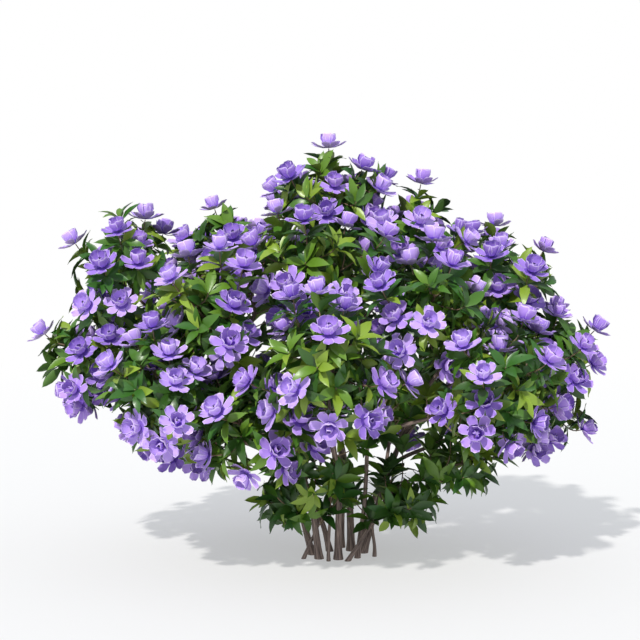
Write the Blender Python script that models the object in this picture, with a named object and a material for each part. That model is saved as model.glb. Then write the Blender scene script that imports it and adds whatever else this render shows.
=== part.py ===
"""Azalea in flower, as a shrub that is rooted in the ground.

A clump of thin stems rises from one root. Each stem, and each bough that forks off a stem, is one tapering
limb, and carries one mass of foliage at its tip: twigs that branch from a short stem, whorls of leaves on
them, and a double flower at the end of each. Two low sprays, one side arm and one spray among the stems
bear leaves alone.

Units are metres, +Z is up, -Y is the front, and the origin is the flat cut under the main stem.
"""

import math
import random
from types import SimpleNamespace

import bmesh
import bpy
import numpy as np

# Spaces between pieces
JOINT_GAP = 0.0003  # from a limb's tip to the mass it carries, and from a bough to its stem
MASS_MARGIN = 0.0015  # that each mass keeps to the plane between it and its neighbour
LIMB_MARGIN = 0.0012  # that twigs, leaves and flowers keep to a limb they pass
GROUND_MARGIN = 0.010
CUTTER_SPARE = 1.15  # how many gaps thicker the shape is that a bough's foot is cut to: its sides are flat

# Limbs
CORE = np.array((0.0, 0.03, 0.17))  # the point that masses, and the tips of limbs, point away from
UP = np.array((0.0, 0.0, 1.0))
EIGHT_SIDES, SIX_SIDES, FOUR_SIDES = 2, 1, 0  # as bevel resolutions
THIN_STEM = 0.0045  # base radius below which a stem has six sides
TIP_RADIUS = 0.0031
TAPER = 0.85  # under 1 a limb keeps its girth further up
ROOT_FLARE, ROOT_FLARE_HEIGHT = 0.45, 0.014
FLARE_BEND = 0.35  # of a stem's first stretch, where the flare ends
BELOW_CUT = 0.012  # that a stem runs on under the ground before it is cut flat
STEM_BENDS, BOUGH_BENDS = 7, 5
STEM_SWAY, BOUGH_SWAY, SWAY_WAVES = 0.022, 0.030, 1.4
CROWDING = 1.25  # how much closer together a path's points stand at its start
CURVE_PULL = 0.38  # of its length, that a path keeps to its first and its last direction
LAST_STRETCH = 0.012  # of a limb, that is in line with the mass it carries
FORK_SPREAD = 2.0  # how much more a bough starts towards its mass than along its stem
SHARP_STEM, SHARP_BOUGH = math.radians(60), math.radians(70)

# Twigs, leaves and flowers
TWIG_RADIUS, STALK_RADIUS, BUD_LENGTH = 0.0024, 0.0018, 0.009
TWIG_LEAN = 0.85  # how far along the mass's own stem a twig climbs for each metre that it reaches out
FIRST_FORK, LAST_FORK = 0.020, 0.96  # metres from where that stem starts, and share of its length
FACING_OUT, FACING_AHEAD, FACING_UP = 0.75, 0.35, 0.18  # what a shoot's tip turns to, and how much
LEAF_LENGTH, LEAF_WIDTH, LEAF_THICKNESS = 0.088, 0.036, 0.0034
LEAF_WIDEST, LEAF_DROOP = 0.40, 0.10  # shares of its length
LEAF_SPINE = np.array((0.35, 0.65, 0.95))  # where along a leaf its room is measured
LEAF_HALF_ROOM = 0.42  # of its width, that it needs to each side of its spine
LEAF_AHEAD, LEAF_ASIDE, LEAF_UP = 0.60, 0.86, 0.08  # what a leaf points to, and how much
LEAF_SUNK = 0.0008  # past the middle of its twig
SPRAY_LEAF_SIZE = 0.8
WHORL = (3, 0.024, 0.009)  # leaves below a flower, the way down to the first, and the step between them
SPRAY = (4, 0.001, 0.015)  # the same where the shoot bears no flower
LEAF_TURNS_TRIED, NEXT_TRY = 7, 0.37  # and the golden angles from one try to the next
GOLDEN_ANGLE = math.radians(137.5)
FLOWER_ACROSS, FLOWER_DEPTH, PETALS = 0.076, 0.036, 5
PETAL_TIP, PETAL_NOTCH = (1.00, 0.58), (0.62, 0.42)  # shares of the flower's half width and its depth
INNER_PETALS, THROAT_DEPTH = (0.52, 1.00), 0.45
FLOWER_HALF_ROOM = 0.45  # of its width, that it keeps round its middle

# How a mass is filled
LEAST_RISE = 0.3  # the slope that its own stem climbs at, or more
ENTRY_SHARE = 0.74  # of its half size, from its middle back to where its stem begins
STEM_PAST_MIDDLE = 0.15
WAYS_TRIED, WIDEST_SHOOT = 40, math.radians(125)
SHELLS = (0.86, 0.66, 0.42)  # shares of its half size at which shoots end
LEAF_REACH = 1.12
ROOM_BY_TWIG, ROOM_BY_LEAF, ROOM_BY_FLOWER = 0.009, 0.017, 0.024

# A stem: its foot on the ground, base radius, lean of its foot from upright in degrees, and its mass
STEMS = (
    ("main_stem", (0.000, 0.000), 0.0078, 4, "front"),
    ("centre_stem", (0.029, 0.084), 0.0082, 3, "spire"),
    ("front_left_stem", (-0.041, 0.006), 0.0074, 9, "upper_front_left"),
    ("left_stem", (-0.056, 0.045), 0.0068, 13, "upper_left"),
    ("right_stem", (0.056, 0.062), 0.0068, 14, "upper_right"),
    ("front_right_stem", (0.041, 0.012), 0.0050, 10, "upper_front_right"),
    ("side_arm_stem", (0.020, -0.017), 0.0042, 34, "side_arm"),
    ("right_sucker", (0.078, 0.026), 0.0034, 16, "right_spray"),
    ("left_sucker", (-0.074, 0.004), 0.0034, 16, "left_spray"),
    ("inner_sucker", (-0.021, -0.018), 0.0032, 6, "inner_spray"),
    ("back_left_stem", (-0.018, 0.078), 0.0060, 12, "back_left"),
    ("back_stem", (0.008, 0.116), 0.0064, 10, "back"),
    ("back_right_stem", (0.050, 0.110), 0.0060, 13, "back_right"),
)

# A bough: its stem, the share of that stem's length where it forks off, base radius, and its mass
BOUGHS = (
    ("bough_crest_front", "main_stem", 0.62, 0.0050, "crest_front"),
    ("bough_crest_right", "centre_stem", 0.62, 0.0050, "crest_right"),
    ("bough_crest_back", "centre_stem", 0.50, 0.0050, "crest_back"),
    ("bough_front_left", "front_left_stem", 0.45, 0.0050, "front_left"),
    ("bough_low_front", "front_left_stem", 0.30, 0.0044, "low_front_left"),
    ("bough_left", "left_stem", 0.48, 0.0050, "left"),
    ("bough_low_left", "left_stem", 0.30, 0.0046, "low_left"),
    ("bough_crest_left", "left_stem", 0.62, 0.0046, "crest_left"),
    ("bough_right", "right_stem", 0.50, 0.0048, "right"),
    ("bough_low_right", "right_stem", 0.36, 0.0046, "low_right"),
    ("bough_front_right", "front_right_stem", 0.52, 0.0040, "front_right"),
    ("bough_upper_back_left", "back_left_stem", 0.50, 0.0046, "upper_back_left"),
    ("bough_low_back", "back_stem", 0.36, 0.0044, "low_back"),
    ("bough_low_back_right", "back_right_stem", 0.36, 0.0044, "low_back_right"),
    ("bough_upper_back_right", "back_right_stem", 0.56, 0.0044, "upper_back_right"),
)

# A mass: its middle, its half sizes, the number of its shoots, and whether they flower
MASSES = (
    ("spire", (-0.018, 0.030, 0.785), (0.110, 0.110, 0.121), 6, True),
    ("crest_right", (0.150, 0.030, 0.712), (0.125, 0.130, 0.122), 5, True),
    ("crest_left", (-0.225, 0.030, 0.665), (0.140, 0.130, 0.118), 5, True),
    ("crest_back", (-0.030, 0.245, 0.690), (0.140, 0.125, 0.120), 4, True),
    ("crest_front", (-0.060, -0.180, 0.645), (0.150, 0.125, 0.115), 5, True),
    ("upper_right", (0.368, 0.020, 0.585), (0.135, 0.140, 0.125), 5, True),
    ("upper_back_right", (0.250, 0.290, 0.590), (0.140, 0.130, 0.120), 4, True),
    ("upper_back_left", (-0.300, 0.280, 0.590), (0.140, 0.130, 0.120), 4, True),
    ("upper_left", (-0.480, 0.020, 0.605), (0.148, 0.140, 0.125), 5, True),
    ("upper_front_left", (-0.275, -0.240, 0.545), (0.140, 0.130, 0.120), 5, True),
    ("upper_front_right", (0.180, -0.235, 0.565), (0.145, 0.130, 0.120), 5, True),
    ("front", (-0.020, -0.360, 0.465), (0.150, 0.120, 0.120), 5, True),
    ("right", (0.462, 0.030, 0.440), (0.135, 0.140, 0.118), 5, True),
    ("back_right", (0.370, 0.320, 0.430), (0.140, 0.140, 0.120), 4, True),
    ("back", (0.020, 0.450, 0.500), (0.150, 0.120, 0.130), 4, True),
    ("back_left", (-0.400, 0.300, 0.430), (0.140, 0.140, 0.120), 4, True),
    ("left", (-0.528, 0.000, 0.438), (0.152, 0.140, 0.102), 5, True),
    ("front_left", (-0.370, -0.250, 0.402), (0.140, 0.130, 0.112), 5, True),
    ("front_right", (0.330, -0.260, 0.410), (0.145, 0.130, 0.115), 5, True),
    ("low_left", (-0.345, -0.010, 0.300), (0.145, 0.140, 0.095), 4, True),
    ("low_right", (0.430, 0.010, 0.322), (0.148, 0.140, 0.085), 4, True),
    ("low_front_left", (-0.190, -0.270, 0.325), (0.140, 0.120, 0.095), 4, True),
    ("low_back", (-0.140, 0.380, 0.320), (0.140, 0.130, 0.100), 4, True),
    ("low_back_right", (0.180, 0.370, 0.310), (0.140, 0.130, 0.100), 4, True),
    ("left_spray", (-0.112, -0.010, 0.120), (0.075, 0.070, 0.062), 4, False),
    ("right_spray", (0.150, 0.000, 0.120), (0.075, 0.070, 0.065), 4, False),
    ("side_arm", (0.270, -0.010, 0.210), (0.105, 0.090, 0.070), 4, False),
    ("inner_spray", (-0.058, -0.085, 0.200), (0.055, 0.060, 0.075), 4, False),
)


def start_empty():
    """Removes whatever the scene holds."""
    for thing in list(bpy.data.objects):
        bpy.data.objects.remove(thing)


def new_collection(name):
    collection = bpy.data.collections.new(name)
    bpy.context.scene.collection.children.link(collection)
    return collection


def principled(name, colour, roughness):
    """A material with this colour, which the solid also shows in a plain viewport."""
    material = bpy.data.materials.new(name)
    material.use_nodes = True
    shader = material.node_tree.nodes["Principled BSDF"]
    shader.inputs["Base Color"].default_value = (*colour, 1.0)
    shader.inputs["Roughness"].default_value = roughness
    shader.inputs["Metallic"].default_value = 0.0
    material.diffuse_color = (*colour, 1.0)
    return material


# Directions and paths


def unit(way):
    return way / np.linalg.norm(way)


def square_to(way):
    """Two directions at right angles to this one and to each other."""
    helper = np.array((1.0, 0.0, 0.0)) if abs(way[2]) > 0.8 else UP
    across = unit(np.cross(helper, way))
    return across, np.cross(way, across)


def length_along(points):
    """The way walked from the path's start to each of its points."""
    return np.concatenate([[0.0], np.cumsum(np.linalg.norm(np.diff(points, axis=0), axis=1))])


def curved_path(start, start_way, end, end_way, steps, sway=0.0, seed=""):
    """Points along a cubic curve that leaves along start_way and arrives along end_way, closer together
    at its start. sway bends it to and fro by that share of its length, in a plane picked by the seed."""
    span = np.linalg.norm(end - start)
    t = (np.linspace(0.0, 1.0, steps + 1) ** CROWDING)[:, None]
    leaving = start + start_way * span * CURVE_PULL
    arriving = end - end_way * span * CURVE_PULL
    points = (1 - t) ** 3 * start + t**3 * end
    points = points + 3 * (1 - t) ** 2 * t * leaving + 3 * (1 - t) * t**2 * arriving
    if sway:
        draw = random.Random(seed)
        across, over = square_to(unit(end - start))
        turn, phase = draw.uniform(0, math.tau), draw.uniform(0, math.tau)
        side = across * math.cos(turn) + over * math.sin(turn)
        wave = np.sin(math.pi * t) ** 2 * np.sin(math.tau * SWAY_WAVES * t + phase)
        points = points + side * wave * sway * span
    return points


def frames_along(points):
    """For each point of a path, its tangent and two directions across it that don't twist."""
    steps = np.diff(points, axis=0)
    tangents = np.vstack([steps[:1], steps[1:] + steps[:-1], steps[-1:]])
    across, _ = square_to(unit(tangents[0]))
    frames = []
    for tangent in tangents:
        tangent = unit(tangent)
        across = unit(across - tangent * (across @ tangent))
        frames.append((tangent, across, np.cross(tangent, across)))
    return frames


def at_length(path, frames, walked):
    """The point this far along a path, and the frame of the stretch that it lies on."""
    lengths = length_along(path)
    walked = min(max(walked, 0.0), lengths[-1])
    low = min(int(np.searchsorted(lengths, walked, side="right")) - 1, len(path) - 2)
    share = (walked - lengths[low]) / (lengths[low + 1] - lengths[low])
    return path[low] + (path[low + 1] - path[low]) * share, frames[low]


def densely(points, step=0.006):
    """The path with points about this far apart."""
    pieces = [points[:1]]
    for low, high in zip(points[:-1], points[1:]):
        count = max(2, int(np.linalg.norm(high - low) / step))
        pieces.append(low + (high - low) * np.linspace(0, 1, count + 1)[1:, None])
    return np.vstack(pieces)


# The space of a mass


def make_masses():
    """The masses by name. Each has an axis away from the core, the planes that part it from the others,
    and a stem of its own along the axis, which starts where it meets its limb."""
    masses = {}
    for name, middle, half, shoots, flowers in MASSES:
        mass = SimpleNamespace(name=name, shoots=shoots, flowers=flowers)
        mass.middle, mass.half = np.array(middle), np.array(half)
        outward = mass.middle - CORE
        outward[2] = max(outward[2], LEAST_RISE * np.linalg.norm(outward[:2]))
        mass.axis = unit(outward)
        masses[name] = mass
    for mass in masses.values():
        others = [other for other in masses.values() if other is not mass]
        mass.normals = np.array([unit(other.middle - mass.middle) for other in others])
        mass.limits = np.array([plane_between(mass, other) for other in others])
        back = way_out(mass, -mass.axis, ENTRY_SHARE)
        mass.entry = mass.middle - mass.axis * back
        mass.stem_length = back + STEM_PAST_MIDDLE * mass.half.min()
    return masses


def plane_between(mass, other):
    """How far along the way from one mass to the other the plane lies that parts them by their sizes."""
    apart = np.linalg.norm(other.middle - mass.middle)
    way = (other.middle - mass.middle) / apart
    mine, theirs = np.linalg.norm(mass.half * way), np.linalg.norm(other.half * way)
    return way @ mass.middle + apart * mine / (mine + theirs) - MASS_MARGIN


def way_out(mass, way, share):
    """How far one can go from the mass's middle along this way: to this share of its half size there, or
    to just inside the plane to its neighbour."""
    reach = share / np.linalg.norm(way / mass.half)
    slopes = mass.normals @ way
    room = mass.limits - mass.normals @ mass.middle
    blocked = slopes > 1e-6
    return min(reach, (room[blocked] / slopes[blocked]).min() - TIP_RADIUS)


def in_space(mass, points):
    """True if every point is on the mass's own side of all the planes, and above the ground."""
    return (points @ mass.normals.T < mass.limits).all() and points[:, 2].min() > GROUND_MARGIN


# Paths of the limbs


def tapered(name, points, base, flare=0.0):
    """A limb: its path and its radius at each point, with a flare at the foot where it has one."""
    walked = length_along(points)
    share = walked / walked[-1]
    radii = TIP_RADIUS + (base - TIP_RADIUS) * (1 - share) ** TAPER
    radii = radii * (1 + flare * np.exp(-points[:, 2] / ROOT_FLARE_HEIGHT))
    return SimpleNamespace(name=name, points=points, radii=radii, share=share, base=base)


def stem_limb(name, foot, base, lean, mass):
    """A stem from its foot to its mass, with one more bend low down for the root flare."""
    start = np.array((*foot, 0.0))
    level = (mass.entry - start) * (1, 1, 0)
    way = unit(UP + unit(level) * math.tan(math.radians(lean)))
    end = mass.entry - mass.axis * LAST_STRETCH
    path = curved_path(start, way, end, mass.axis, STEM_BENDS, STEM_SWAY, name)
    above_flare = start + (path[1] - start) * FLARE_BEND
    return tapered(name, np.vstack([start, above_flare, path[1:], mass.entry]), base, ROOT_FLARE)


def bough_limb(name, stem, fork, base, mass):
    """A bough from the middle of its stem, at the bend nearest to its fork, to its mass."""
    at = int(np.argmin(abs(stem.share - fork)))
    start = stem.points[at]
    along_stem = unit(stem.points[at + 1] - stem.points[at - 1])
    end = mass.entry - mass.axis * LAST_STRETCH
    way = unit(along_stem + unit(end - start) * FORK_SPREAD)
    path = curved_path(start, way, end, mass.axis, BOUGH_BENDS, BOUGH_SWAY, name)
    return tapered(name, np.vstack([path, mass.entry]), base)


def make_limbs(masses):
    """Stems and boughs by name."""
    limbs = {}
    for name, foot, base, lean, mass_name in STEMS:
        limbs[name] = stem_limb(name, foot, base, lean, masses[mass_name])
    for name, stem_name, fork, base, mass_name in BOUGHS:
        limbs[name] = bough_limb(name, limbs[stem_name], fork, base, masses[mass_name])
    return limbs


def clearance(points, limb):
    """The least distance from these points to the limb's surface."""
    start, along = limb.points[:-1], np.diff(limb.points, axis=0)
    offset = points[:, None, :] - start[None]
    share = np.clip((offset * along).sum(2) / (along**2).sum(1), 0.0, 1.0)
    nearest = np.linalg.norm(offset - share[:, :, None] * along, axis=2)
    return (nearest - limb.radii[:-1] - share * np.diff(limb.radii)).min()


def clear_of_limbs(points, radius, limbs):
    return all(clearance(points, limb) > radius + LIMB_MARGIN for limb in limbs.values())


# Shoots and leaves


def golden_ways(axis):
    """Directions spread evenly round an axis, out to the widest angle from it, the axis first."""
    across, over = square_to(axis)
    ways = [axis]
    for k in range(WAYS_TRIED):
        polar = math.acos(1 - (1 - math.cos(WIDEST_SHOOT)) * (k + 0.5) / WAYS_TRIED)
        turn = k * GOLDEN_ANGLE
        side = across * math.cos(turn) + over * math.sin(turn)
        ways.append(axis * math.cos(polar) + side * math.sin(polar))
    return ways


def shoot_towards(mass, way, share):
    """A shoot whose flower, or top leaves, stand at this share of the mass's half size. It leaves the
    mass's own stem ahead of where it would be level with its tip, and turns to face outwards."""
    tip = mass.middle + way * share / np.linalg.norm(way / mass.half)
    facing = unit(way * FACING_OUT + mass.axis * FACING_AHEAD + UP * FACING_UP)
    end = tip - facing * FLOWER_DEPTH * 0.5
    rise = (end - mass.entry) @ mass.axis
    aside = np.linalg.norm(end - mass.entry - mass.axis * rise)
    fork = min(max(rise - TWIG_LEAN * aside, FIRST_FORK), mass.stem_length * LAST_FORK)
    start = mass.entry + mass.axis * fork
    leaving = unit(unit(end - start) + mass.axis * FACING_AHEAD)
    return SimpleNamespace(mass=mass, tip=tip, path=curved_path(start, leaving, end, facing, steps=2))


def has_room(shoot, limbs):
    """True if the shoot keeps to its mass's space and passes every limb."""
    mass = shoot.mass
    if not in_space(mass, shoot.path) or not clear_of_limbs(densely(shoot.path[1:]), TWIG_RADIUS, limbs):
        return False
    if not mass.flowers:
        return True
    round_flower = shoot.tip + FLOWER_ACROSS / 2 * np.vstack([np.eye(3), -np.eye(3)])
    half_room = FLOWER_ACROSS * FLOWER_HALF_ROOM
    return in_space(mass, round_flower) and clear_of_limbs(shoot.tip[None], half_room, limbs)


def choose_shoots(mass, limbs):
    """The mass's shoots: of all that have room, the one along its axis and then always the one furthest
    from those chosen and from where the mass begins."""
    ways = golden_ways(mass.axis)
    tried = [shoot_towards(mass, way, share) for share in SHELLS for way in ways]
    kept = [shoot for shoot in tried if has_room(shoot, limbs)]
    chosen = kept[:1]
    while len(chosen) < mass.shoots:
        points = np.array([mass.entry] + [shoot.tip for shoot in chosen])
        gaps = [np.linalg.norm(points - shoot.tip, axis=1).min() for shoot in kept]
        chosen.append(kept[int(np.argmax(gaps))])
    return chosen


def taken_by(shoots):
    """Points of the shoots' twigs and flowers, each with the room that a leaf keeps from it."""
    taken = [(spot, ROOM_BY_TWIG) for shoot in shoots for spot in densely(shoot.path)]
    return taken + [(shoot.tip, ROOM_BY_FLOWER) for shoot in shoots if shoot.mass.flowers]


def leaf_at(mass, root, frame, turn):
    """A leaf that leaves its twig forwards and to the side that the turn gives."""
    tangent, across, over = frame
    size = 1.0 if mass.flowers else SPRAY_LEAF_SIZE
    leaf = SimpleNamespace(root=root, length=LEAF_LENGTH * size, width=LEAF_WIDTH * size)
    side = across * math.cos(turn) + over * math.sin(turn)
    leaf.way = unit(tangent * LEAF_AHEAD + side * LEAF_ASIDE + UP * LEAF_UP)
    leaf.face = unit(tangent - leaf.way * (tangent @ leaf.way))
    leaf.wide = np.cross(leaf.way, leaf.face)
    leaf.spine = root + leaf.way * leaf.length * LEAF_SPINE[:, None]
    return leaf


def leaf_fits(leaf, mass, taken, limbs):
    """True if the leaf stays in its mass's space and keeps its room to limbs and to what is there."""
    tip = leaf.root + leaf.way * leaf.length
    edge = leaf.wide * leaf.width / 2
    outline = np.vstack([leaf.spine[0] + edge, leaf.spine[0] - edge, leaf.spine, tip])
    if not in_space(mass, outline) or np.linalg.norm((tip - mass.middle) / mass.half) > LEAF_REACH:
        return False
    if min(np.linalg.norm(leaf.spine - spot, axis=1).min() - room for spot, room in taken) < 0:
        return False
    return clear_of_limbs(densely(outline[2:]), leaf.width * LEAF_HALF_ROOM, limbs)


def leaves_of(shoot, taken, limbs):
    """A shoot's leaves, at the golden angle round it: in a whorl below its flower, or all along it where
    it bears none. A leaf that fits at no turn is left out. taken grows by the leaves that are made."""
    mass = shoot.mass
    count, first, step = WHORL if mass.flowers else SPRAY
    frames = frames_along(shoot.path)
    whole = length_along(shoot.path)[-1]
    start_turn = random.Random(f"{mass.name} {shoot.tip.round(4)}").uniform(0, math.tau)
    leaves = []
    for k in range(count):
        root, frame = at_length(shoot.path, frames, whole - first - step * k)
        for tried in range(LEAF_TURNS_TRIED):
            leaf = leaf_at(mass, root, frame, start_turn + (k + tried * NEXT_TRY) * GOLDEN_ANGLE)
            if leaf_fits(leaf, mass, taken, limbs):
                leaves.append(leaf)
                taken.extend((spot, ROOM_BY_LEAF) for spot in leaf.spine)
                break
    return leaves


# Solids of the limbs


def round_bar(name, points, radii, resolution, material, collection):
    """A bar of varying thickness along a path: a bevelled curve, made a mesh with its caps welded on."""
    curve = bpy.data.curves.new(name, "CURVE")
    curve.dimensions = "3D"
    curve.bevel_depth = float(radii[0])
    curve.bevel_resolution = resolution
    curve.use_fill_caps = True
    spline = curve.splines.new("POLY")
    spline.points.add(len(points) - 1)
    for control, point, radius in zip(spline.points, points, radii):
        control.co = (*point, 1.0)
        control.radius = float(radius / radii[0])
    drawn = bpy.data.objects.new("drawn " + name, curve)
    collection.objects.link(drawn)
    graph = bpy.context.evaluated_depsgraph_get()
    mesh = bpy.data.meshes.new_from_object(drawn.evaluated_get(graph))
    matrix = drawn.matrix_world.copy()
    bpy.data.objects.remove(drawn)
    bpy.data.curves.remove(curve)
    welded = bmesh.new()
    welded.from_mesh(mesh)
    bmesh.ops.remove_doubles(welded, verts=welded.verts, dist=0.00001)
    bar = finished(welded, name, [material], collection, mesh)
    bar.matrix_world = matrix
    return bar


def finished(work, name, materials, collection, mesh=None):
    """The worked faces, all facing out, as a mesh object with these materials."""
    bmesh.ops.recalc_face_normals(work, faces=work.faces)
    mesh = mesh or bpy.data.meshes.new(name)
    work.to_mesh(mesh)
    work.free()
    mesh.name = name
    mesh.materials.clear()
    for material in materials:
        mesh.materials.append(material)
    thing = bpy.data.objects.new(name, mesh)
    collection.objects.link(thing)
    return thing


def cut_at_ground(stem):
    """Cuts the stem flat at ground level and closes the cut."""
    work = bmesh.new()
    work.from_mesh(stem.data)
    everything = [*work.verts, *work.edges, *work.faces]
    bmesh.ops.bisect_plane(work, geom=everything, plane_co=(0, 0, 0), plane_no=UP, clear_inner=True)
    bmesh.ops.edgeloop_fill(work, edges=[edge for edge in work.edges if edge.is_boundary])
    bmesh.ops.recalc_face_normals(work, faces=work.faces)
    work.to_mesh(stem.data)
    work.free()


def make_stem(limb, material, parts):
    below = limb.points[0] - unit(limb.points[1] - limb.points[0]) * BELOW_CUT
    points, radii = np.vstack([below, limb.points]), np.append(limb.radii[:1], limb.radii)
    sides = SIX_SIDES if limb.base < THIN_STEM else EIGHT_SIDES
    stem = round_bar(limb.name, points, radii, sides, material, parts)
    cut_at_ground(stem)
    stem.data.shade_smooth()
    stem.data.set_sharp_from_angle(angle=SHARP_STEM)


def make_cutter(limb, material, cutters):
    """The stem, thicker by the gap, that the feet of its boughs are cut to."""
    thicker = limb.radii + JOINT_GAP * CUTTER_SPARE
    cutter = round_bar("around_" + limb.name, limb.points, thicker, EIGHT_SIDES, material, cutters)
    cutter.hide_render = True
    cutter.display_type = "WIRE"
    return cutter


def make_bough(limb, cutter, material, parts):
    bough = round_bar(limb.name, limb.points, limb.radii, SIX_SIDES, material, parts)
    bough.data.shade_smooth()
    bough.data.set_sharp_from_angle(angle=SHARP_BOUGH)
    fit = bough.modifiers.new("Fit to stem", "BOOLEAN")
    fit.operation = "DIFFERENCE"
    fit.object = cutter


# Solids of the masses


def ring_of(work, centre, frame, spots):
    """Adds a ring of vertices. A spot is its turn, its distance from the centre, and how far it is set
    forward along the frame's tangent."""
    tangent, across, over = frame
    return [
        work.verts.new(centre + (across * math.cos(turn) + over * math.sin(turn)) * out + tangent * forward)
        for turn, out, forward in spots
    ]


def even_turns(count):
    return [math.tau * k / count for k in range(count)]


def band(work, lower, upper, slot):
    """Triangles between two rings, whose numbers of vertices may differ."""
    low, high = 0, 0
    while low < len(lower) or high < len(upper):
        here, there = lower[low % len(lower)], upper[high % len(upper)]
        if (low + 1) * len(upper) <= (high + 1) * len(lower) and low < len(lower):
            corners = (here, lower[(low + 1) % len(lower)], there)
            low += 1
        else:
            corners = (here, upper[(high + 1) % len(upper)], there)
            high += 1
        work.faces.new(corners).material_index = slot


def fan(work, ring, point, slot):
    """Triangles from a ring to one point."""
    for here, there in zip(ring, ring[1:] + ring[:1]):
        work.faces.new((here, there, point)).material_index = slot


def add_flower(work, stalk_ring, centre, frame):
    """A double flower: the stalk flares to a rim of petal tips and notches, inside it a second, upright
    rim, and within that the throat."""
    half = FLOWER_ACROSS / 2
    rims = []
    for shares in ((PETAL_NOTCH, PETAL_TIP) * PETALS, (INNER_PETALS,) * PETALS):
        turns = even_turns(len(shares))
        spots = [(turn, half * out, FLOWER_DEPTH * deep) for turn, (out, deep) in zip(turns, shares)]
        rims.append(ring_of(work, centre, frame, spots))
    outer_ring, inner_ring = rims
    throat = work.verts.new(centre + frame[0] * FLOWER_DEPTH * THROAT_DEPTH)
    band(work, stalk_ring, outer_ring, 1)
    band(work, outer_ring, inner_ring, 1)
    fan(work, inner_ring, throat, 1)


def shoot_solid(shoot, materials, collection):
    """A three-sided twig that ends in a flower, or in a bud where it bears none."""
    work = bmesh.new()
    frames = frames_along(shoot.path)
    radii = np.linspace(TWIG_RADIUS, STALK_RADIUS, len(shoot.path))
    rings = [
        ring_of(work, point, frame, [(turn, radius, 0.0) for turn in even_turns(3)])
        for point, frame, radius in zip(shoot.path, frames, radii)
    ]
    work.faces.new(rings[0][::-1])
    for lower, upper in zip(rings[:-1], rings[1:]):
        band(work, lower, upper, 0)
    end, frame = shoot.path[-1], frames[-1]
    if shoot.mass.flowers:
        add_flower(work, rings[-1], end, frame)
    else:
        fan(work, rings[-1], work.verts.new(end + frame[0] * BUD_LENGTH), 0)
    finished(work, "shoot", materials[:2], collection)


def leaf_solid(leaf, material, collection):
    """A leaf of six faces, widest nearer its root, with a raised midrib and a tip that droops."""
    work = bmesh.new()
    bmesh.ops.create_uvsphere(work, u_segments=3, v_segments=2, radius=1.0)
    widest = leaf.root + leaf.way * leaf.length * LEAF_WIDEST
    for vertex in work.verts:
        x, y, z = vertex.co
        if z > 0.5:
            vertex.co = leaf.root + (leaf.way - leaf.face * LEAF_DROOP) * leaf.length
        elif z < -0.5:
            vertex.co = leaf.root - leaf.way * LEAF_SUNK
        elif y > 0.5:
            vertex.co = widest + leaf.face * LEAF_THICKNESS
        else:
            vertex.co = widest + leaf.wide * math.copysign(leaf.width / 2, x)
    finished(work, "leaf", [material], collection)


def keep_largest_shell(mesh):
    """Fills the hollows that the join sealed and drops loose scraps: both are shells of their own."""
    work = bmesh.new()
    work.from_mesh(mesh)
    unseen, shells = set(work.faces), []
    while unseen:
        shell, edge_of_search = [], [unseen.pop()]
        while edge_of_search:
            face = edge_of_search.pop()
            shell.append(face)
            for edge in face.edges:
                fresh = [other for other in edge.link_faces if other in unseen]
                unseen.difference_update(fresh)
                edge_of_search.extend(fresh)
        shells.append(shell)
    shells.sort(key=len)
    for shell in shells[:-1]:
        bmesh.ops.delete(work, geom=shell, context="FACES")
    work.to_mesh(mesh)
    work.free()


def make_mass(mass, limbs, materials, parts):
    """One mass of foliage as one solid: its own stem, and fused to it the shoots and their leaves."""
    twig_bark, _, leaf_green = materials
    start = mass.entry + mass.axis * JOINT_GAP
    points = np.array([start + mass.axis * mass.stem_length * share for share in (0.0, 0.5, 1.0)])
    radii = np.linspace(TIP_RADIUS, TWIG_RADIUS, len(points))
    solid = round_bar(mass.name, points, radii, FOUR_SIDES, twig_bark, parts)
    pieces = new_collection("pieces of " + mass.name)
    shoots = choose_shoots(mass, limbs)
    taken = taken_by(shoots)
    for shoot in shoots:
        shoot_solid(shoot, materials, pieces)
        for leaf in leaves_of(shoot, taken, limbs):
            leaf_solid(leaf, leaf_green, pieces)
    join = solid.modifiers.new("Join", "BOOLEAN")
    join.operation = "UNION"
    join.operand_type = "COLLECTION"
    join.collection = pieces
    join.solver = "EXACT"
    join.material_mode = "TRANSFER"
    graph = bpy.context.evaluated_depsgraph_get()
    joined = bpy.data.meshes.new_from_object(solid.evaluated_get(graph))
    keep_largest_shell(joined)
    solid.modifiers.clear()
    solid.data = joined
    joined.name = mass.name
    for piece in list(pieces.objects):
        bpy.data.objects.remove(piece)
    bpy.data.collections.remove(pieces)


def main():
    start_empty()
    parts, cutters = new_collection("azalea"), new_collection("cutters")
    cutters.hide_render = True
    bark = principled("bark", (0.16, 0.11, 0.085), 0.85)
    twig_bark = principled("twig bark", (0.20, 0.16, 0.08), 0.70)
    petal = principled("petal", (0.42, 0.26, 0.80), 0.50)
    leaf_green = principled("leaf", (0.07, 0.20, 0.035), 0.45)
    masses = make_masses()
    limbs = make_limbs(masses)
    for name, *_ in STEMS:
        make_stem(limbs[name], bark, parts)
    stem_cutters = {}
    for name, stem_name, *_ in BOUGHS:
        if stem_name not in stem_cutters:
            stem_cutters[stem_name] = make_cutter(limbs[stem_name], bark, cutters)
        make_bough(limbs[name], stem_cutters[stem_name], bark, parts)
    for mass in masses.values():
        make_mass(mass, limbs, (twig_bark, petal, leaf_green), parts)


main()
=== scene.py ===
import math
import random
from types import SimpleNamespace

import bmesh
import bpy
import numpy as np
from mathutils import Matrix, Vector


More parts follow.
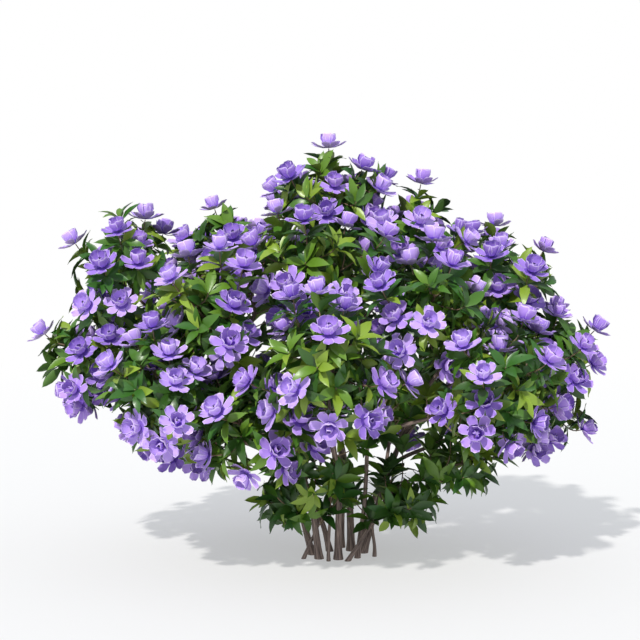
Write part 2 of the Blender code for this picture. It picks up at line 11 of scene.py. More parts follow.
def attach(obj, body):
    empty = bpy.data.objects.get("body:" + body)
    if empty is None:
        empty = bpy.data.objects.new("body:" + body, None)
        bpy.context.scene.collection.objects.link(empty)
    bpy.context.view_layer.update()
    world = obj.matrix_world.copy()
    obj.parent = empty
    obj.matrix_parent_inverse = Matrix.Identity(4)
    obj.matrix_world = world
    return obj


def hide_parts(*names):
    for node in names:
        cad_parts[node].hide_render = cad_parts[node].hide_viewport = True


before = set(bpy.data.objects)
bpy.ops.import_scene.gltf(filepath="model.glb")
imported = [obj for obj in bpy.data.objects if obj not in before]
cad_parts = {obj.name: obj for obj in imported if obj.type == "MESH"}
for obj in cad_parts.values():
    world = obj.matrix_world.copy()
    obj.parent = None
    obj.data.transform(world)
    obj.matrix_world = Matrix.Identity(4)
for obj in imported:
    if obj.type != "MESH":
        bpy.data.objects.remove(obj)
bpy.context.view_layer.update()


# Studio
# A pale floor that glows white, in part near the shrub, where the glow is painted light that pales the
# shrub's cast shadow, and fully further back, where it runs into a white background; one sun-like lamp
# from the front left, and soft pale light from all round. The camera stands 3.2 m in front of the shrub,
# a little above its middle.

CAMERA_PLACE, CAMERA_TILT = (-0.039, -3.2, 0.74), 4.1
SENSOR, LENS, FURTHEST_SEEN = 36.0, 85.7, 200.0
SUN_FROM, SUN_STRENGTH, SUN_COLOUR, SUN_WIDTH = (-0.4, -1.0, 1.0), 3.3, (1.0, 0.97, 0.92), 2.0
ROOM_COLOUR, ROOM_STRENGTH = (0.86, 0.92, 1.0, 1.0), 0.72
FLOOR_HALF, FLOOR_COLOUR, FLOOR_ROUGHNESS = 30.0, (0.72, 0.72, 0.72, 1.0), 0.9
# The floor's glow: where it starts to grow, where it is all there is, and its share near the shrub, where it
# is painted light that pales the shrub's cast shadow.
GLOW_STARTS, GLOW_ALONE, LEAST_GLOW_PALING_SHADOW = 0.9, 4.0, 0.4


def add_node(tree, kind, feeds=None, **settings):
    """A node with these settings, whose sockets are fed by other nodes' outputs or hold plain values."""
    made = tree.nodes.new(kind)
    for setting, value in settings.items():
        setattr(made, setting, value)
    for socket, source in (feeds or {}).items():
        if isinstance(source, bpy.types.NodeSocket):
            tree.links.new(source, made.inputs[socket])
        else:
            made.inputs[socket].default_value = source
    return made


scene = bpy.context.scene
scene.view_settings.view_transform = "Standard"

camera = bpy.data.objects.new("camera", bpy.data.cameras.new("camera"))
scene.collection.objects.link(camera)
camera.location = CAMERA_PLACE
camera.rotation_euler = (math.radians(90 - CAMERA_TILT), 0.0, 0.0)
camera.data.sensor_width, camera.data.lens, camera.data.clip_end = SENSOR, LENS, FURTHEST_SEEN
scene.camera = camera

sun = bpy.data.objects.new("key lamp", bpy.data.lights.new("key lamp", "SUN"))
scene.collection.objects.link(sun)
sun.data.energy, sun.data.color, sun.data.angle = SUN_STRENGTH, SUN_COLOUR, math.radians(SUN_WIDTH)
sun.rotation_euler = Vector(SUN_FROM).to_track_quat("Z", "Y").to_euler()

scene.world = bpy.data.worlds.new("white room")
scene.world.use_nodes = True
room = scene.world.node_tree
soft = room.nodes["Background"]
soft.inputs["Color"].default_value = ROOM_COLOUR
soft.inputs["Strength"].default_value = ROOM_STRENGTH
seen = add_node(room, "ShaderNodeBackground", {"Color": (1.0, 1.0, 1.0, 1.0)})
rays = add_node(room, "ShaderNodeLightPath")
either = add_node(room, "ShaderNodeMixShader", {
    0: rays.outputs["Is Camera Ray"], 1: soft.outputs[0], 2: seen.outputs[0]})
room.links.new(either.outputs[0], room.nodes["World Output"].inputs["Surface"])

floor_paint = bpy.data.materials.new("pale floor")
floor_paint.use_nodes = True
paint = floor_paint.node_tree
matt = paint.nodes["Principled BSDF"]
matt.inputs["Base Color"].default_value = FLOOR_COLOUR
matt.inputs["Roughness"].default_value = FLOOR_ROUGHNESS
# The floor mixes in a white glow that is no lamp: painted light, which pales the shrub's shadow near it and
# whitens the floor further back.
glow = add_node(paint, "ShaderNodeEmission")
on_floor = add_node(paint, "ShaderNodeTexCoord")
away = add_node(paint, "ShaderNodeSeparateXYZ", {0: on_floor.outputs["Object"]})
fade = add_node(paint, "ShaderNodeMapRange", {
    "Value": away.outputs["Y"], "From Min": GLOW_STARTS, "From Max": GLOW_ALONE, "To Min": LEAST_GLOW_PALING_SHADOW})
both = add_node(paint, "ShaderNodeMixShader", {0: fade.outputs[0], 1: matt.outputs[0], 2: glow.outputs[0]})
paint.links.new(both.outputs[0], paint.nodes["Material Output"].inputs["Surface"])

floor_mesh = bpy.data.meshes.new("floor")
floor_corners = [(x * FLOOR_HALF, y * FLOOR_HALF, 0) for x, y in ((-1, -1), (1, -1), (1, 1), (-1, 1))]
floor_mesh.from_pydata(floor_corners, [], [(0, 1, 2, 3)])
floor_mesh.materials.append(floor_paint)
floor = bpy.data.objects.new("floor", floor_mesh)
scene.collection.objects.link(floor)


# Stems and boughs
# Thirteen thin woody stems rise apart from one root and lean outwards, and fifteen boughs fork off them.
# Each is one tapering limb with grey-brown bark that is finely ridged along it, and flares at the ground.

UP = np.array((0.0, 0.0, 1.0))
NEARLY_UPRIGHT, NEARLY_SQUARE = 0.8, 1e-6

# How a limb tapers and bends, and where it enters its mass of foliage. All masses grow away from CORE
CORE = np.array((0.0, 0.03, 0.17))
TIP_RADIUS, TAPER = 0.0031, 0.85
ROOT_FLARE, ROOT_FLARE_HEIGHT, FLARE_BEND = 0.45, 0.014, 0.35
STEM_BENDS, BOUGH_BENDS = 7, 5
STEM_SWAY, BOUGH_SWAY, SWAY_WAVES = 0.022, 0.030, 1.4
CROWDING, CURVE_PULL = 1.25, 0.38
LAST_STRETCH, FORK_SPREAD = 0.012, 2.0
LEAST_RISE, ENTRY_SHARE, STEM_PAST_MIDDLE = 0.3, 0.74, 0.15
MASS_MARGIN = 0.0015

# A stem: its foot on the ground, base radius, lean of its foot from upright in degrees, and its mass
STEMS = (
    ("main_stem", (0.000, 0.000), 0.0078, 4, "front"),
    ("centre_stem", (0.029, 0.084), 0.0082, 3, "spire"),
    ("front_left_stem", (-0.041, 0.006), 0.0074, 9, "upper_front_left"),
    ("left_stem", (-0.056, 0.045), 0.0068, 13, "upper_left"),
    ("right_stem", (0.056, 0.062), 0.0068, 14, "upper_right"),
    ("front_right_stem", (0.041, 0.012), 0.0050, 10, "upper_front_right"),
    ("side_arm_stem", (0.020, -0.017), 0.0042, 34, "side_arm"),
    ("right_sucker", (0.078, 0.026), 0.0034, 16, "right_spray"),
    ("left_sucker", (-0.074, 0.004), 0.0034, 16, "left_spray"),
    ("inner_sucker", (-0.021, -0.018), 0.0032, 6, "inner_spray"),
    ("back_left_stem", (-0.018, 0.078), 0.0060, 12, "back_left"),
    ("back_stem", (0.008, 0.116), 0.0064, 10, "back"),
    ("back_right_stem", (0.050, 0.110), 0.0060, 13, "back_right"),
)

# A bough: its stem, the share of that stem's length where it forks off, base radius, and its mass
BOUGHS = (
    ("bough_crest_front", "main_stem", 0.62, 0.0050, "crest_front"),
    ("bough_crest_right", "centre_stem", 0.62, 0.0050, "crest_right"),
    ("bough_crest_back", "centre_stem", 0.50, 0.0050, "crest_back"),
    ("bough_front_left", "front_left_stem", 0.45, 0.0050, "front_left"),
    ("bough_low_front", "front_left_stem", 0.30, 0.0044, "low_front_left"),
    ("bough_left", "left_stem", 0.48, 0.0050, "left"),
    ("bough_low_left", "left_stem", 0.30, 0.0046, "low_left"),
    ("bough_crest_left", "left_stem", 0.62, 0.0046, "crest_left"),
    ("bough_right", "right_stem", 0.50, 0.0048, "right"),
    ("bough_low_right", "right_stem", 0.36, 0.0046, "low_right"),
    ("bough_front_right", "front_right_stem", 0.52, 0.0040, "front_right"),
    ("bough_upper_back_left", "back_left_stem", 0.50, 0.0046, "upper_back_left"),
    ("bough_low_back", "back_stem", 0.36, 0.0044, "low_back"),
    ("bough_low_back_right", "back_right_stem", 0.36, 0.0044, "low_back_right"),
    ("bough_upper_back_right", "back_right_stem", 0.56, 0.0044, "upper_back_right"),
)

# A mass of foliage: its middle, its half sizes, the number of its main shoots, and whether they flower
MASSES = (
    ("spire", (-0.018, 0.030, 0.785), (0.110, 0.110, 0.121), 6, True),
    ("crest_right", (0.150, 0.030, 0.712), (0.125, 0.130, 0.122), 5, True),
    ("crest_left", (-0.225, 0.030, 0.665), (0.140, 0.130, 0.118), 5, True),
    ("crest_back", (-0.030, 0.245, 0.690), (0.140, 0.125, 0.120), 4, True),
    ("crest_front", (-0.060, -0.180, 0.645), (0.150, 0.125, 0.115), 5, True),
    ("upper_right", (0.368, 0.020, 0.585), (0.135, 0.140, 0.125), 5, True),
    ("upper_back_right", (0.250, 0.290, 0.590), (0.140, 0.130, 0.120), 4, True),
    ("upper_back_left", (-0.300, 0.280, 0.590), (0.140, 0.130, 0.120), 4, True),
    ("upper_left", (-0.480, 0.020, 0.605), (0.148, 0.140, 0.125), 5, True),
    ("upper_front_left", (-0.275, -0.240, 0.545), (0.140, 0.130, 0.120), 5, True),
    ("upper_front_right", (0.180, -0.235, 0.565), (0.145, 0.130, 0.120), 5, True),
    ("front", (-0.020, -0.360, 0.465), (0.150, 0.120, 0.120), 5, True),
    ("right", (0.462, 0.030, 0.440), (0.135, 0.140, 0.118), 5, True),
    ("back_right", (0.370, 0.320, 0.430), (0.140, 0.140, 0.120), 4, True),
    ("back", (0.020, 0.450, 0.500), (0.150, 0.120, 0.130), 4, True),
    ("back_left", (-0.400, 0.300, 0.430), (0.140, 0.140, 0.120), 4, True),
    ("left", (-0.528, 0.000, 0.438), (0.152, 0.140, 0.102), 5, True),
    ("front_left", (-0.370, -0.250, 0.402), (0.140, 0.130, 0.112), 5, True),
    ("front_right", (0.330, -0.260, 0.410), (0.145, 0.130, 0.115), 5, True),
    ("low_left", (-0.345, -0.010, 0.300), (0.145, 0.140, 0.095), 4, True),
    ("low_right", (0.430, 0.010, 0.322), (0.148, 0.140, 0.085), 4, True),
    ("low_front_left", (-0.190, -0.270, 0.325), (0.140, 0.120, 0.095), 4, True),
    ("low_back", (-0.140, 0.380, 0.320), (0.140, 0.130, 0.100), 4, True),
    ("low_back_right", (0.180, 0.370, 0.310), (0.140, 0.130, 0.100), 4, True),
    ("left_spray", (-0.112, -0.010, 0.120), (0.075, 0.070, 0.062), 4, False),
    ("right_spray", (0.150, 0.000, 0.120), (0.075, 0.070, 0.065), 4, False),
    ("side_arm", (0.270, -0.010, 0.210), (0.105, 0.090, 0.070), 4, False),
    ("inner_spray", (-0.058, -0.085, 0.200), (0.055, 0.060, 0.075), 4, False),
)


def unit(way):
    return way / np.linalg.norm(way)


def square_to(way):
    """Two directions at right angles to this one and to each other."""
    helper = np.array((1.0, 0.0, 0.0)) if abs(way[2]) > NEARLY_UPRIGHT else UP
    across = unit(np.cross(helper, way))
    return across, np.cross(way, across)


def turned(first, second, angle):
    """The direction at this angle from the first of two square directions, towards the second."""
    return first * math.cos(angle) + second * math.sin(angle)


def length_along(points):
    """The way walked from the path's start to each of its points."""
    return np.concatenate([[0.0], np.cumsum(np.linalg.norm(np.diff(points, axis=0), axis=1))])


def curved_path(start, start_way, end, end_way, steps, sway=0.0, seed=""):
    """Points along a cubic curve that leaves along start_way and arrives along end_way, closer together
    at its start. sway bends it to and fro by that share of its length, in a plane picked by the seed."""
    span = np.linalg.norm(end - start)
    t = (np.linspace(0.0, 1.0, steps + 1) ** CROWDING)[:, None]
    leaving = start + start_way * span * CURVE_PULL
    arriving = end - end_way * span * CURVE_PULL
    points = (1 - t) ** 3 * start + t**3 * end
    points = points + 3 * (1 - t) ** 2 * t * leaving + 3 * (1 - t) * t**2 * arriving
    if sway:
        draw = random.Random(seed)
        across, over = square_to(unit(end - start))
        turn, phase = draw.uniform(0, math.tau), draw.uniform(0, math.tau)
        wave = np.sin(math.pi * t) ** 2 * np.sin(math.tau * SWAY_WAVES * t + phase)
        points = points + turned(across, over, turn) * wave * sway * span
    return points


def plane_between(mass, other):
    """How far along the way from one mass to the other the plane lies that parts them by their sizes."""
    apart = np.linalg.norm(other.middle - mass.middle)
    way = (other.middle - mass.middle) / apart
    mine, theirs = np.linalg.norm(mass.half * way), np.linalg.norm(other.half * way)
    return way @ mass.middle + apart * mine / (mine + theirs) - MASS_MARGIN


def way_out(mass, way, share):
    """How far one can go from the mass's middle along this way: to this share of its half size there, or
    to just inside the plane to its neighbour."""
    reach = share / np.linalg.norm(way / mass.half)
    slopes = mass.normals @ way
    room_left = mass.limits - mass.normals @ mass.middle
    blocked = slopes > NEARLY_SQUARE
    return min(reach, (room_left[blocked] / slopes[blocked]).min() - TIP_RADIUS)


masses = {}
for name, middle, half, shoots, flowers in MASSES:
    mass = SimpleNamespace(name=name, shoots=shoots, flowers=flowers)
    mass.middle, mass.half = np.array(middle), np.array(half)
    outward = mass.middle - CORE
    outward[2] = max(outward[2], LEAST_RISE * np.linalg.norm(outward[:2]))
    mass.axis = unit(outward)
    masses[name] = mass
for mass in masses.values():
    others = [other for other in masses.values() if other is not mass]
    mass.normals = np.array([unit(other.middle - mass.middle) for other in others])
    mass.limits = np.array([plane_between(mass, other) for other in others])
    back = way_out(mass, -mass.axis, ENTRY_SHARE)
    mass.entry = mass.middle - mass.axis * back
    mass.stem_length = back + STEM_PAST_MIDDLE * mass.half.min()


def tapered(points, base, flare=0.0):
    """A limb: its path, its radius and the share of its length at each point, with a flare at its foot."""
    walked = length_along(points)
    share = walked / walked[-1]
    radii = TIP_RADIUS + (base - TIP_RADIUS) * (1 - share) ** TAPER
    radii = radii * (1 + flare * np.exp(-points[:, 2] / ROOT_FLARE_HEIGHT))
    return SimpleNamespace(points=points, radii=radii, share=share)


limbs = {}
for name, foot, base, lean, mass_name in STEMS:
    mass = masses[mass_name]
    start = np.array((*foot, 0.0))
    level = (mass.entry - start) * (1, 1, 0)
    way = unit(UP + unit(level) * math.tan(math.radians(lean)))
    end = mass.entry - mass.axis * LAST_STRETCH
    path = curved_path(start, way, end, mass.axis, STEM_BENDS, STEM_SWAY, name)
    above_flare = start + (path[1] - start) * FLARE_BEND
    limbs[name] = tapered(np.vstack([start, above_flare, path[1:], mass.entry]), base, ROOT_FLARE)
for name, stem_name, fork, base, mass_name in BOUGHS:
    mass, stem = masses[mass_name], limbs[stem_name]
    at = int(np.argmin(abs(stem.share - fork)))
    start = stem.points[at]
    along_stem = unit(stem.points[at + 1] - stem.points[at - 1])
    end = mass.entry - mass.axis * LAST_STRETCH
    way = unit(along_stem + unit(end - start) * FORK_SPREAD)
    path = curved_path(start, way, end, mass.axis, BOUGH_BENDS, BOUGH_SWAY, name)
    limbs[name] = tapered(np.vstack([path, mass.entry]), base)


def new_tree(name, inputs):
    """A Geometry Nodes tree with these named inputs, and its nodes for what comes in and goes out."""
    tree = bpy.data.node_groups.new(name, "GeometryNodeTree")
    tree.interface.new_socket("Geometry", in_out="INPUT", socket_type="NodeSocketGeometry")
    for label, kind in inputs:
        tree.interface.new_socket(label, in_out="INPUT", socket_type="NodeSocket" + kind)
    tree.interface.new_socket("Geometry", in_out="OUTPUT", socket_type="NodeSocketGeometry")
    return tree, tree.nodes.new("NodeGroupInput"), tree.nodes.new("NodeGroupOutput")


def stored(tree, geometry, name, value, kind):
    """The geometry with this value kept on its points as a named attribute."""
    feeds = {"Geometry": geometry, "Name": name, "Value": value}
    keep = add_node(tree, "GeometryNodeStoreNamedAttribute", feeds, data_type=kind, domain="POINT")
    return keep.outputs[0]


def attribute(tree, name, kind):
    """The value that is kept under this name."""
    return add_node(tree, "GeometryNodeInputNamedAttribute", {"Name": name}, data_type=kind).outputs[0]


def applied(thing, tree, values, name):
    """The mesh that the tree makes of this object, as a new piece; the object itself is removed."""
    modifier = thing.modifiers.new("shape", "NODES")
    modifier.node_group = tree
    for item in tree.interface.items_tree:
        if item.in_out == "INPUT" and item.name in values:
            modifier[item.identifier] = values[item.name]
    graph = bpy.context.evaluated_depsgraph_get()
    mesh = bpy.data.meshes.new_from_object(thing.evaluated_get(graph), depsgraph=graph)
    bpy.data.objects.remove(thing)
    mesh.name = name
    piece = bpy.data.objects.new(name, mesh)
    scene.collection.objects.link(piece)
    return piece


# The tree that makes a round, ridged limb of each path, with its own grain as an attribute: the way
# round the limb, and along it the length walked, drawn together so that the ridges run along
GRAIN_FOR_A_METRE, RIDGE_FINENESS, RIDGE_DETAIL = 9.0, 3.2, 3.0

limb_tree, limb_in, limb_out = new_tree("round limbs", [
    ("Sides", "Int"), ("Step", "Float"), ("Ridges", "Float"), ("Bark", "Material")])
even = add_node(limb_tree, "GeometryNodeResampleCurve", {
    "Curve": limb_in.outputs["Geometry"], "Length": limb_in.outputs["Step"]}, mode="LENGTH")
length_walked = add_node(limb_tree, "GeometryNodeSplineParameter").outputs["Length"]
way_along = stored(limb_tree, even.outputs[0], "walked", length_walked, "FLOAT")
ring = add_node(limb_tree, "GeometryNodeCurvePrimitiveCircle", {
    "Resolution": limb_in.outputs["Sides"], "Radius": 1.0})
on_ring = add_node(limb_tree, "GeometryNodeInputPosition").outputs[0]
way_round = stored(limb_tree, ring.outputs["Curve"], "turned", on_ring, "FLOAT_VECTOR")
girth = add_node(limb_tree, "GeometryNodeInputRadius").outputs[0]
skin = add_node(limb_tree, "GeometryNodeCurveToMesh", {
    "Curve": way_along, "Profile Curve": way_round, "Scale": girth, "Fill Caps": True})
lift = add_node(limb_tree, "ShaderNodeCombineXYZ", {"Z": attribute(limb_tree, "walked", "FLOAT")})
stretched = add_node(limb_tree, "ShaderNodeVectorMath", {
    0: lift.outputs[0], 1: (0.0, 0.0, GRAIN_FOR_A_METRE)}, operation="MULTIPLY")
grain = add_node(limb_tree, "ShaderNodeVectorMath", {
    0: attribute(limb_tree, "turned", "FLOAT_VECTOR"), 1: stretched.outputs[0]}, operation="ADD").outputs[0]
grained = stored(limb_tree, skin.outputs[0], "grain", grain, "FLOAT_VECTOR")
uneven = add_node(limb_tree, "ShaderNodeTexNoise", {
    "Vector": grain, "Scale": RIDGE_FINENESS, "Detail": RIDGE_DETAIL})
centred = add_node(limb_tree, "ShaderNodeMath", {0: uneven.outputs[0], 1: 0.5}, operation="SUBTRACT")
height = add_node(limb_tree, "ShaderNodeMath", {
    0: centred.outputs[0], 1: limb_in.outputs["Ridges"]}, operation="MULTIPLY")
facing = add_node(limb_tree, "GeometryNodeInputNormal")
push = add_node(limb_tree, "ShaderNodeVectorMath", {
    0: facing.outputs[0], "Scale": height.outputs[0]}, operation="SCALE")
ridged = add_node(limb_tree, "GeometryNodeSetPosition", {"Geometry": grained, "Offset": push.outputs[0]})
smooth = add_node(limb_tree, "GeometryNodeSetShadeSmooth", {
    "Geometry": ridged.outputs[0], "Shade Smooth": True})
real = add_node(limb_tree, "GeometryNodeRealizeInstances", {"Geometry": smooth.outputs[0]})
coated = add_node(limb_tree, "GeometryNodeSetMaterial", {
    "Geometry": real.outputs[0], "Material": limb_in.outputs["Bark"]})
limb_tree.links.new(coated.outputs[0], limb_out.inputs[0])


def round_limbs(name, paths, sides, step, ridges, coat):
    """One piece with a round limb along each path, a pair of points and radii."""
    curve = bpy.data.curves.new(name + " paths", "CURVE")
    curve.dimensions = "3D"
    for points, radii in paths:
        spline = curve.splines.new("POLY")
        spline.points.add(len(points) - 1)
        spline.points.foreach_set("co", np.hstack([points, np.ones((len(points), 1))]).ravel())
        spline.points.foreach_set("radius", np.asarray(radii, float))
    drawn = bpy.data.objects.new(name + " paths", curve)
    scene.collection.objects.link(drawn)
    return applied(drawn, limb_tree, {"Sides": sides, "Step": step, "Ridges": ridges, "Bark": coat}, name)


PATH_STEP, LEAST_POINTS, ROUNDINGS = 0.012, 6, 2


def smoothed(limb):
    """The limb's path with its corners rounded, and the radius at each of its points."""
    walked = length_along(limb.points)
    spots = np.linspace(0, walked[-1], max(LEAST_POINTS, int(walked[-1] / PATH_STEP)))
    points = np.column_stack([np.interp(spots, walked, limb.points[:, axis]) for axis in range(3)])
    for _ in range(ROUNDINGS):
        points[1:-1] = (points[:-2] + points[1:-1] * 2 + points[2:]) / 4
    return points, np.interp(spots, walked, limb.radii)


# The shader group of bark: streaks along the grain, with their height
STREAK_DETAIL, STREAK_ROUGHNESS = 4.0, 0.65
ALL_DARK, ALL_LIGHT = 0.36, 0.66
BARK_BUMP = 0.8

streaks = bpy.data.node_groups.new("bark streaks", "ShaderNodeTree")
for label, kind in (("Dark", "Color"), ("Light", "Color"), ("Fineness", "Float")):
    streaks.interface.new_socket(label, in_out="INPUT", socket_type="NodeSocket" + kind)
for label, kind in (("Colour", "Color"), ("Height", "Float")):
    streaks.interface.new_socket(label, in_out="OUTPUT", socket_type="NodeSocket" + kind)
asked, answer = streaks.nodes.new("NodeGroupInput"), streaks.nodes.new("NodeGroupOutput")
own_grain = add_node(streaks, "ShaderNodeAttribute", attribute_name="grain")
broad = add_node(streaks, "ShaderNodeTexNoise", {
    "Vector": own_grain.outputs["Vector"], "Scale": asked.outputs["Fineness"],
    "Detail": STREAK_DETAIL, "Roughness": STREAK_ROUGHNESS})
contrast = add_node(streaks, "ShaderNodeMapRange", {
    "Value": broad.outputs[0], "From Min": ALL_DARK, "From Max": ALL_LIGHT})
tint = add_node(streaks, "ShaderNodeMixRGB", {
    0: contrast.outputs[0], 1: asked.outputs["Dark"], 2: asked.outputs["Light"]})
streaks.links.new(tint.outputs[0], answer.inputs["Colour"])
streaks.links.new(broad.outputs[0], answer.inputs["Height"])


def bark_material(name, dark, light, fineness, roughness, depth):
    """Bark with dark fissures and lighter ridges, which run along the limb."""
    material = bpy.data.materials.new(name)
    material.use_nodes = True
    nodes = material.node_tree
    shader = nodes.nodes["Principled BSDF"]
    shader.inputs["Roughness"].default_value = roughness
    pattern = nodes.nodes.new("ShaderNodeGroup")
    pattern.node_tree = streaks
    pattern.inputs["Dark"].default_value = (*dark, 1.0)
    pattern.inputs["Light"].default_value = (*light, 1.0)
    pattern.inputs["Fineness"].default_value = fineness
    bump = add_node(nodes, "ShaderNodeBump", {
        "Height": pattern.outputs["Height"], "Distance": depth, "Strength": BARK_BUMP})
    nodes.links.new(pattern.outputs["Colour"], shader.inputs["Base Color"])
    nodes.links.new(bump.outputs[0], shader.inputs["Normal"])
    return material


bark = bark_material(
    "grey brown bark", dark=(0.055, 0.038, 0.034), light=(0.36, 0.27, 0.23),
    fineness=2.6, roughness=0.82, depth=0.0006)

STEM_SIDES, BOUGH_SIDES, LIMB_STEP = 16, 12, 0.005
RIDGES, RIDGES_OF_BOUGH = 0.0011, 0.7
BELOW_CUT, SAME_POINT = 0.012, 0.00001

# The stems run on below the ground, and are cut flat there
stem_paths = []
for name, *_ in STEMS:
    points, radii = smoothed(limbs[name])
    below = points[0] - unit(points[1] - points[0]) * BELOW_CUT
    stem_paths.append((np.vstack([below, points]), np.append(radii[:1], radii)))
stems = round_limbs("stems", stem_paths, STEM_SIDES, LIMB_STEP, RIDGES, bark)
work = bmesh.new()
work.from_mesh(stems.data)
bmesh.ops.remove_doubles(work, verts=work.verts, dist=SAME_POINT)
everything = [*work.verts, *work.edges, *work.faces]
bmesh.ops.bisect_plane(work, geom=everything, plane_co=(0, 0, 0), plane_no=UP, clear_inner=True)
bmesh.ops.edgeloop_fill(work, edges=[edge for edge in work.edges if edge.is_boundary])
bmesh.ops.recalc_face_normals(work, faces=work.faces)
work.to_mesh(stems.data)
work.free()
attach(stems, "root")
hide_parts(*[name for name, *_ in STEMS])

bough_paths = [smoothed(limbs[name]) for name, *_ in BOUGHS]
boughs = round_limbs("boughs", bough_paths, BOUGH_SIDES, LIMB_STEP, RIDGES * RIDGES_OF_BOUGH, bark)
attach(boughs, "root")
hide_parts(*[name for name, *_ in BOUGHS])


# Twigs
# Young brown wood. Inside each mass the limb runs on as a thin stem. Shoots branch from it by the golden
# angle, and finer ones from them; each ends in a flower on a slender stalk, or in a rosette of leaves.

# How main shoots grow: the radii, where one forks off and which way it ends, the directions that are
# tried, and the room that a shoot and its flower need
TWIG_RADIUS, STALK_RADIUS, FINE_RADIUS = 0.0022, 0.0011, 0.0015
TWIG_LEAN, FIRST_FORK, LAST_FORK = 0.85, 0.020, 0.96
FACING_OUT, FACING_AHEAD, FACING_UP = 0.75, 0.35, 0.18
GOLDEN_ANGLE = math.radians(137.5)
WAYS_TRIED, WIDEST_SHOOT = 40, math.radians(125)
SHELLS = (0.86, 0.66, 0.42)
FLOWER_ROOM, FLOWER_DEPTH, FLOWER_HALF_ROOM = 0.076, 0.036, 0.45
ROOM_ROUND_TWIG, CHECK_STEP = 0.0024, 0.006
GROUND_MARGIN, LIMB_MARGIN = 0.010, 0.0012
CROWN_MIDDLE = np.array((-0.03, 0.04, 0.42))


def clear_of_limbs(points, radius):
    """True if every point keeps this radius and a little more from every stem and bough."""
    for limb in limbs.values():
        start, along = limb.points[:-1], np.diff(limb.points, axis=0)
        offset = points[:, None, :] - start[None]
        share = np.clip((offset * along).sum(2) / (along**2).sum(1), 0.0, 1.0)
        nearest = np.linalg.norm(offset - share[:, :, None] * along, axis=2)
        if (nearest - limb.radii[:-1] - share * np.diff(limb.radii)).min() <= radius + LIMB_MARGIN:
            return False
    return True


def densely(points):
    """The path with more points, so that nothing thin slips between them."""
    chunks = [points[:1]]
    for low, high in zip(points[:-1], points[1:]):
        count = max(2, int(np.linalg.norm(high - low) / CHECK_STEP))
        chunks.append(low + (high - low) * np.linspace(0, 1, count + 1)[1:, None])
    return np.vstack(chunks)


def in_space(mass, points):
    """True if all points lie between the planes to the mass's neighbours, and above the ground."""
    return (points @ mass.normals.T < mass.limits).all() and points[:, 2].min() > GROUND_MARGIN


def golden_ways(axis):
    """Directions spread evenly round an axis, out to the widest angle from it, the axis first."""
    across, over = square_to(axis)
    ways = [axis]
    for k in range(WAYS_TRIED):
        polar = math.acos(1 - (1 - math.cos(WIDEST_SHOOT)) * (k + 0.5) / WAYS_TRIED)
        ways.append(turned(axis, turned(across, over, k * GOLDEN_ANGLE), polar))
    return ways


def shoot_towards(mass, way, share):
    """A shoot whose flower, or top leaves, stand at this share of the mass's half size."""
    tip = mass.middle + way * share / np.linalg.norm(way / mass.half)
    heading = unit(way * FACING_OUT + mass.axis * FACING_AHEAD + UP * FACING_UP)
    end = tip - heading * FLOWER_DEPTH / 2
    rise = (end - mass.entry) @ mass.axis
    aside = np.linalg.norm(end - mass.entry - mass.axis * rise)
    fork = min(max(rise - TWIG_LEAN * aside, FIRST_FORK), mass.stem_length * LAST_FORK)
    start = mass.entry + mass.axis * fork
    leaving = unit(unit(end - start) + mass.axis * FACING_AHEAD)
    return SimpleNamespace(
        mass=mass, tip=tip, way=way, share=share, start=start, leaving=leaving, end=end, heading=heading)


def has_room(shoot):
    """True if the shoot and its flower stay in the mass's space and clear of the limbs."""
    mass = shoot.mass
    path = curved_path(shoot.start, shoot.leaving, shoot.end, shoot.heading, steps=2)
    if not in_space(mass, path) or not clear_of_limbs(densely(path[1:]), ROOM_ROUND_TWIG):
        return False
    if not mass.flowers:
        return True
    round_flower = shoot.tip + FLOWER_ROOM / 2 * np.vstack([np.eye(3), -np.eye(3)])
    return in_space(mass, round_flower) and clear_of_limbs(shoot.tip[None], FLOWER_ROOM * FLOWER_HALF_ROOM)


def furthest(shoots, points):
    """The shoot whose tip is the furthest from all of these points, and how far that is."""
    spots = np.array(points)
    gaps = [np.linalg.norm(spots - shoot.tip, axis=1).min() for shoot in shoots]
    best = int(np.argmax(gaps))
    return shoots[best], gaps[best]


def choose_shoots(mass):
    """The mass's main shoots, each the furthest from those before it and from where the mass begins."""
    ways = golden_ways(mass.axis)
    tried = [shoot_towards(mass, way, share) for share in SHELLS for way in ways]
    roomy = [shoot for shoot in tried if has_room(shoot)]
    chosen = roomy[:1]
    while len(chosen) < mass.shoots:
        chosen.append(furthest(roomy, [mass.entry] + [shoot.tip for shoot in chosen])[0])
    return chosen


# Finer shoots: how far out they reach, how many there are, and the room that each needs
FINE_SHELLS, OUTER_SHELL, SIDEWAYS = (1.18, 0.90, 0.64, 0.38), 0.9, 0.30
FINE_SHOOTS, FINE_SHOOTS_OF_SPRAY = 21, 8
LEAST_SPACING, ROOM_ROUND_TIP, LOWEST_TIP = 0.042, 0.024, 0.05


def fine_shoots(mass, tips):
    """Finer shoots, which fill the mass and lean over the gaps to its neighbours, but not further out of
    the crown. Each is the furthest from all that there are so far, and tips grows by its tip."""
    outwards = unit(mass.middle - CROWN_MIDDLE)
    ways = golden_ways(mass.axis)
    tried = [shoot_towards(mass, way, share) for share in FINE_SHELLS for way in ways
             if share < OUTER_SHELL or way @ outwards < SIDEWAYS]
    roomy = [shoot for shoot in tried
             if shoot.tip[2] > LOWEST_TIP and clear_of_limbs(shoot.tip[None], ROOM_ROUND_TIP)]
    picked = []
    for _ in range(FINE_SHOOTS if mass.flowers else FINE_SHOOTS_OF_SPRAY):
        shoot, gap = furthest(roomy, tips)
        if gap < LEAST_SPACING:
            break
        picked.append(shoot)
        tips.append(shoot.tip)
    return picked


main_shoots = {mass.name: choose_shoots(mass) for mass in masses.values()}
tips = [shoot.tip for chosen in main_shoots.values() for shoot in chosen]

